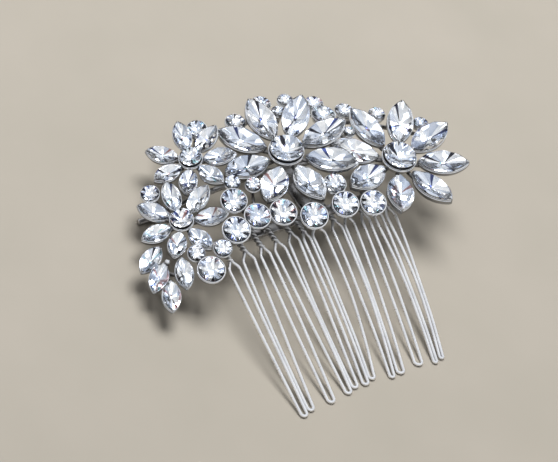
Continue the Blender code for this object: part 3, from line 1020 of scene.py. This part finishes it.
def tooth(number, top, tip, reach, spreads, bow, split, root):
    """One wire: down a strand of the twist, along one leg, round the tip, and back up the other leg.

    top and tip are the X of its two ends, reach is how far it goes toward -Y, spreads are half the
    distance between its legs near the top, in the middle and at the tip, bow is how far it bends
    sideways, and the twist runs from root to split."""
    early, middle, end = spreads
    end_y = end + WIRE_RADIUS + 0.01 - reach
    places = (
        (0.02, 0.5 * early + 0.2),
        (0.045, early),
        (0.1, early),
        (0.28, 0.5 * (early + middle)),
        (0.5, middle),
        (0.76, 0.5 * (middle + end)),
        (1.0, end),
    )
    legs = []
    for side in (-1, 1):
        leg = []
        for share, apart in places:
            y = split + (end_y - split) * share
            centre = top + (tip - top) * share + 4 * bow * share * (1 - share)
            z = STEM_LOW + 0.03 + (WIRE_RADIUS - STEM_LOW) * share
            leg.append((centre + side * apart, y, z))
        legs.append(leg)
    turn = []
    for k in range(1, TIP_STEPS):
        angle = math.pi * k / TIP_STEPS
        turn.append((tip - end * math.cos(angle), end_y - end * math.sin(angle), WIRE_RADIUS + 0.03))
    left = twist_strand(top, root, split, math.pi)
    right = twist_strand(top, root, split, 0.0)
    down = smooth_path([left[-1]] + legs[0], LEG_STEPS)
    back = smooth_path([right[-1]] + legs[1], LEG_STEPS)
    path = left[:-1] + down + turn + list(reversed(back)) + list(reversed(right[:-1]))
    wire = tube(path, WIRE_RADIUS - 0.005, WIRE_SIDES)
    build("tooth_%02d" % number, [(wire, WIRE_METAL)], ["hairpin_%02d" % number])


# Teeth: top, tip, reach, half spreads, bow, split, root
TEETH = (
    (-20.5, -21.8, 47.5, (1.35, 1.1, 0.75), 0.0, -9.1, -7.6),
    (-15.6, -19.4, 46.7, (1.5, 1.3, 0.75), -0.2, -8.0, STEM_ROOT),
    (-11.0, -13.5, 46.6, (1.25, 1.25, 0.85), 0.1, -8.1, STEM_ROOT),
    (-6.7, -8.2, 46.0, (1.4, 1.25, 0.75), 0.1, -7.9, STEM_ROOT),
    (-1.95, -5.8, 45.2, (1.4, 1.35, 0.75), -0.1, -7.0, STEM_ROOT),
    (1.35, -2.8, 45.4, (0.9, 0.75, 0.75), 0.5, -7.7, STEM_ROOT),
    (5.0, -0.4, 44.6, (1.7, 1.7, 0.75), 1.0, -7.2, STEM_ROOT),
    (10.5, 4.5, 46.0, (1.3, 1.25, 0.6), 0.8, -7.2, STEM_ROOT),
    (14.2, 7.3, 45.8, (1.3, 1.1, 0.9), 0.65, -7.2, STEM_ROOT),
    (18.8, 12.95, 45.4, (1.0, 1.15, 1.0), 0.55, -7.5, STEM_ROOT),
    (22.4, 17.1, 46.3, (0.95, 0.44, 0.44), 0.9, -7.5, STEM_ROOT),
    (25.8, 19.3, 45.8, (1.15, 0.44, 0.46), 1.1, -8.2, STEM_ROOT),
)
for number, values in enumerate(TEETH, 1):
    tooth(number, *values)


# ---------------------------------------------------------------- back frame

# Arched wire: the X and height of its middle, its half width, and its two feet
ARCH_MIDDLE = 8.5
ARCH_TOP = 8.3
ARCH_REACH = 34.0
ARCH_ENDS = ((-29.0, 13.4), (46.0, 9.4))
ARCH_RADIUS = 0.735
ARCH_STEPS = 30
ARCH_SIDES = 20
FOOT_HEIGHT = 0.77

# Plate from the bar to the arched wire, and the lumps of solder where the stems cross the bar
PLATE_ENDS = (BAR_Y - 0.5, 12.2)
PLATE_WIDTH = 6.0
PLATE_HEIGHT = 0.8
SOLDER_SIZE = (1.7, 2.2, 1.1)


def arch_path():
    """From foot to foot, up under the flowers and down again."""
    (start_x, start_y), (end_x, end_y) = ARCH_ENDS
    path = [(start_x, start_y, FOOT_HEIGHT)]
    for step in range(ARCH_STEPS + 1):
        share = step / ARCH_STEPS
        across = 2 * share - 1
        x = ARCH_MIDDLE + ARCH_REACH * across
        y = start_y + (end_y - start_y) * share
        z = FOOT_HEIGHT + (ARCH_TOP - FOOT_HEIGHT) * (1 - across**2)
        path.append((x, y, z))
    path.append((end_x, end_y, FOOT_HEIGHT))
    return path


bar_z = BAR_TOP - BAR_HEIGHT / 2
bar_start = (BAR_ENDS[0], BAR_Y, bar_z)
bar_end = (BAR_ENDS[1], BAR_Y, bar_z)
plate_start = (ARCH_MIDDLE, PLATE_ENDS[0], bar_z + 0.1)
plate_end = (ARCH_MIDDLE, PLATE_ENDS[1], bar_z + 0.4)
bar = rounded_bar(bar_start, bar_end, BAR_WIDTH, BAR_HEIGHT, round_off=0.3)
plate = rounded_bar(plate_start, plate_end, PLATE_WIDTH, PLATE_HEIGHT, round_off=0.25)
arch = tube(arch_path(), ARCH_RADIUS, ARCH_SIDES)
frame_parts = [(bar, FRAME_METAL_PAINTED_SHADE), (arch, FRAME_METAL_PAINTED_SHADE), (plate, FRAME_METAL_PAINTED_SHADE)]
for top, *_, root in TEETH:
    # A short stem ends before it reaches the bar
    if root == STEM_ROOT:
        solder = moved(blob(SOLDER_SIZE), Matrix.Translation((top, BAR_Y, BAR_TOP + 0.2)))
        frame_parts.append((solder, FRAME_METAL_PAINTED_SHADE))
build("comb_frame", frame_parts, ["back_frame"])


# ---------------------------------------------------------------- studio

FLOOR_SIDES = 48
FLOOR_RADIUS = 1.6
# Just under the comb, whose teeth and feet end at zero
FLOOR_HEIGHT = -0.00003

# Lamps: name, place, size and watts. Each points at the origin
LAMPS = (
    ("key_light", (0.16, 0.26, 0.80), (0.5, 0.45), 10.8),
    ("front_light", (-0.45, -0.30, 0.75), (0.5, 0.25), 0.7),
    ("left_light", (-0.45, 0.35, 0.45), (0.3, 0.3), 0.5),
    ("right_light", (0.30, -0.50, 0.50), (0.3, 0.2), 0.3),
)
# Surroundings: tones by height, where the bright side is and how bright, and the cool tone of the patches
HEIGHT_TONES = ((0.0, 0.42), (0.3, 0.76), (0.62, 0.9))
KEY_DIRECTION = Vector((0.36, 0.42, 0.82))
KEY_GLOW = 0.24
PATCH_SCALE = 2.6
PATCH_TONE = (0.66, 0.695, 0.745)
# Share of the surroundings' light that falls on matt surfaces; the lamps give the rest
FILL = 0.1

# Camera: it looks down from over the tips of the teeth, turned about its own axis
CAMERA_PLACE = Vector((-0.3583, -0.2604, 0.4576))
CAMERA_AIM = Vector((-0.0096, 0.0031, 0.0090))
CAMERA_ROLL = 25.64
CAMERA_SENSOR = 36.0
CAMERA_LENS = 176.8


def floor_material():
    material, nodes, links, shader = new_material("pale_floor")
    drift = noise_on_object(nodes, links, FLOOR_SCALE)
    colour = ramp(nodes, links, drift, [(0.3, (0.345, 0.318, 0.272)), (0.7, (0.37, 0.338, 0.292))])
    links.new(colour, shader.inputs["Base Color"])
    shader.inputs["Roughness"].default_value = 0.7
    return material


def studio_floor():
    mesh = bpy.data.meshes.new("floor")
    mesh.from_pydata(round_ring(2 * FLOOR_RADIUS, 0.0, FLOOR_SIDES), [], [tuple(range(FLOOR_SIDES))])
    mesh.materials.append(floor_material())
    floor = bpy.data.objects.new("floor", mesh)
    floor.location.z = FLOOR_HEIGHT
    bpy.context.scene.collection.objects.link(floor)


def softbox(name, place, size, power):
    """Soft lamp that points at the origin. Reflections show the surroundings instead of it."""
    lamp = bpy.data.lights.new(name, "AREA")
    lamp.shape = "RECTANGLE"
    lamp.size, lamp.size_y = size
    lamp.energy = power
    holder = bpy.data.objects.new(name, lamp)
    holder.visible_glossy = False
    holder.location = place
    holder.rotation_euler = (-Vector(place)).to_track_quat("-Z", "Y").to_euler()
    bpy.context.scene.collection.objects.link(holder)


def surroundings_colour(nodes, links):
    """Bright toward the key side and overhead, dim near the horizon, with broad patches between."""
    place = nodes.new("ShaderNodeTexCoord")
    direction = place.outputs["Generated"]
    split = nodes.new("ShaderNodeSeparateXYZ")
    links.new(direction, split.inputs["Vector"])
    height = ramp(nodes, links, split.outputs["Z"], [(stop, grey(tone)) for stop, tone in HEIGHT_TONES])
    toward = add_node(nodes, "ShaderNodeVectorMath", operation="DOT_PRODUCT")
    links.new(direction, toward.inputs[0])
    toward.inputs[1].default_value = KEY_DIRECTION.normalized()
    lobe = ramp(nodes, links, toward.outputs["Value"], [(0.45, grey(0.0)), (0.95, WHITE)])
    patches = add_node(nodes, "ShaderNodeTexNoise", Scale=PATCH_SCALE, Detail=1.0)
    links.new(direction, patches.inputs["Vector"])
    spread = ramp(nodes, links, patches.outputs["Fac"], [(0.4, PATCH_TONE), (0.6, WHITE)])
    glow = add_node(nodes, "ShaderNodeVectorMath", operation="MULTIPLY_ADD")
    links.new(lobe, glow.inputs[0])
    glow.inputs[1].default_value = grey(KEY_GLOW)
    links.new(height, glow.inputs[2])
    total = add_node(nodes, "ShaderNodeVectorMath", operation="MULTIPLY")
    links.new(glow.outputs["Vector"], total.inputs[0])
    links.new(spread, total.inputs[1])
    return total.outputs["Vector"]


def studio_world():
    """Large soft surroundings, so that each flat facet picks up an even tone of its own. Only a share of
    their light falls on matt surfaces."""
    world = bpy.data.worlds.new("studio")
    world.use_nodes = True
    nodes = world.node_tree.nodes
    links = world.node_tree.links
    links.new(surroundings_colour(nodes, links), nodes["Background"].inputs["Color"])
    rays = nodes.new("ShaderNodeLightPath")
    dimmer = nodes.new("ShaderNodeMapRange")
    links.new(rays.outputs["Is Diffuse Ray"], dimmer.inputs["Value"])
    dimmer.inputs["To Min"].default_value = 1.0
    dimmer.inputs["To Max"].default_value = FILL
    links.new(dimmer.outputs["Result"], nodes["Background"].inputs["Strength"])
    bpy.context.scene.world = world


def studio_camera():
    lens = bpy.data.cameras.new("camera")
    lens.sensor_width = CAMERA_SENSOR
    lens.lens = CAMERA_LENS
    camera = bpy.data.objects.new("camera", lens)
    look = (CAMERA_AIM - CAMERA_PLACE).to_track_quat("-Z", "Y").to_matrix().to_4x4()
    roll = Matrix.Rotation(math.radians(CAMERA_ROLL), 4, "Z")
    camera.matrix_world = Matrix.Translation(CAMERA_PLACE) @ look @ roll
    bpy.context.scene.collection.objects.link(camera)
    bpy.context.scene.camera = camera


studio_floor()
studio_world()
for lamp_values in LAMPS:
    softbox(*lamp_values)
studio_camera()
bpy.context.scene.view_settings.view_transform = "Standard"
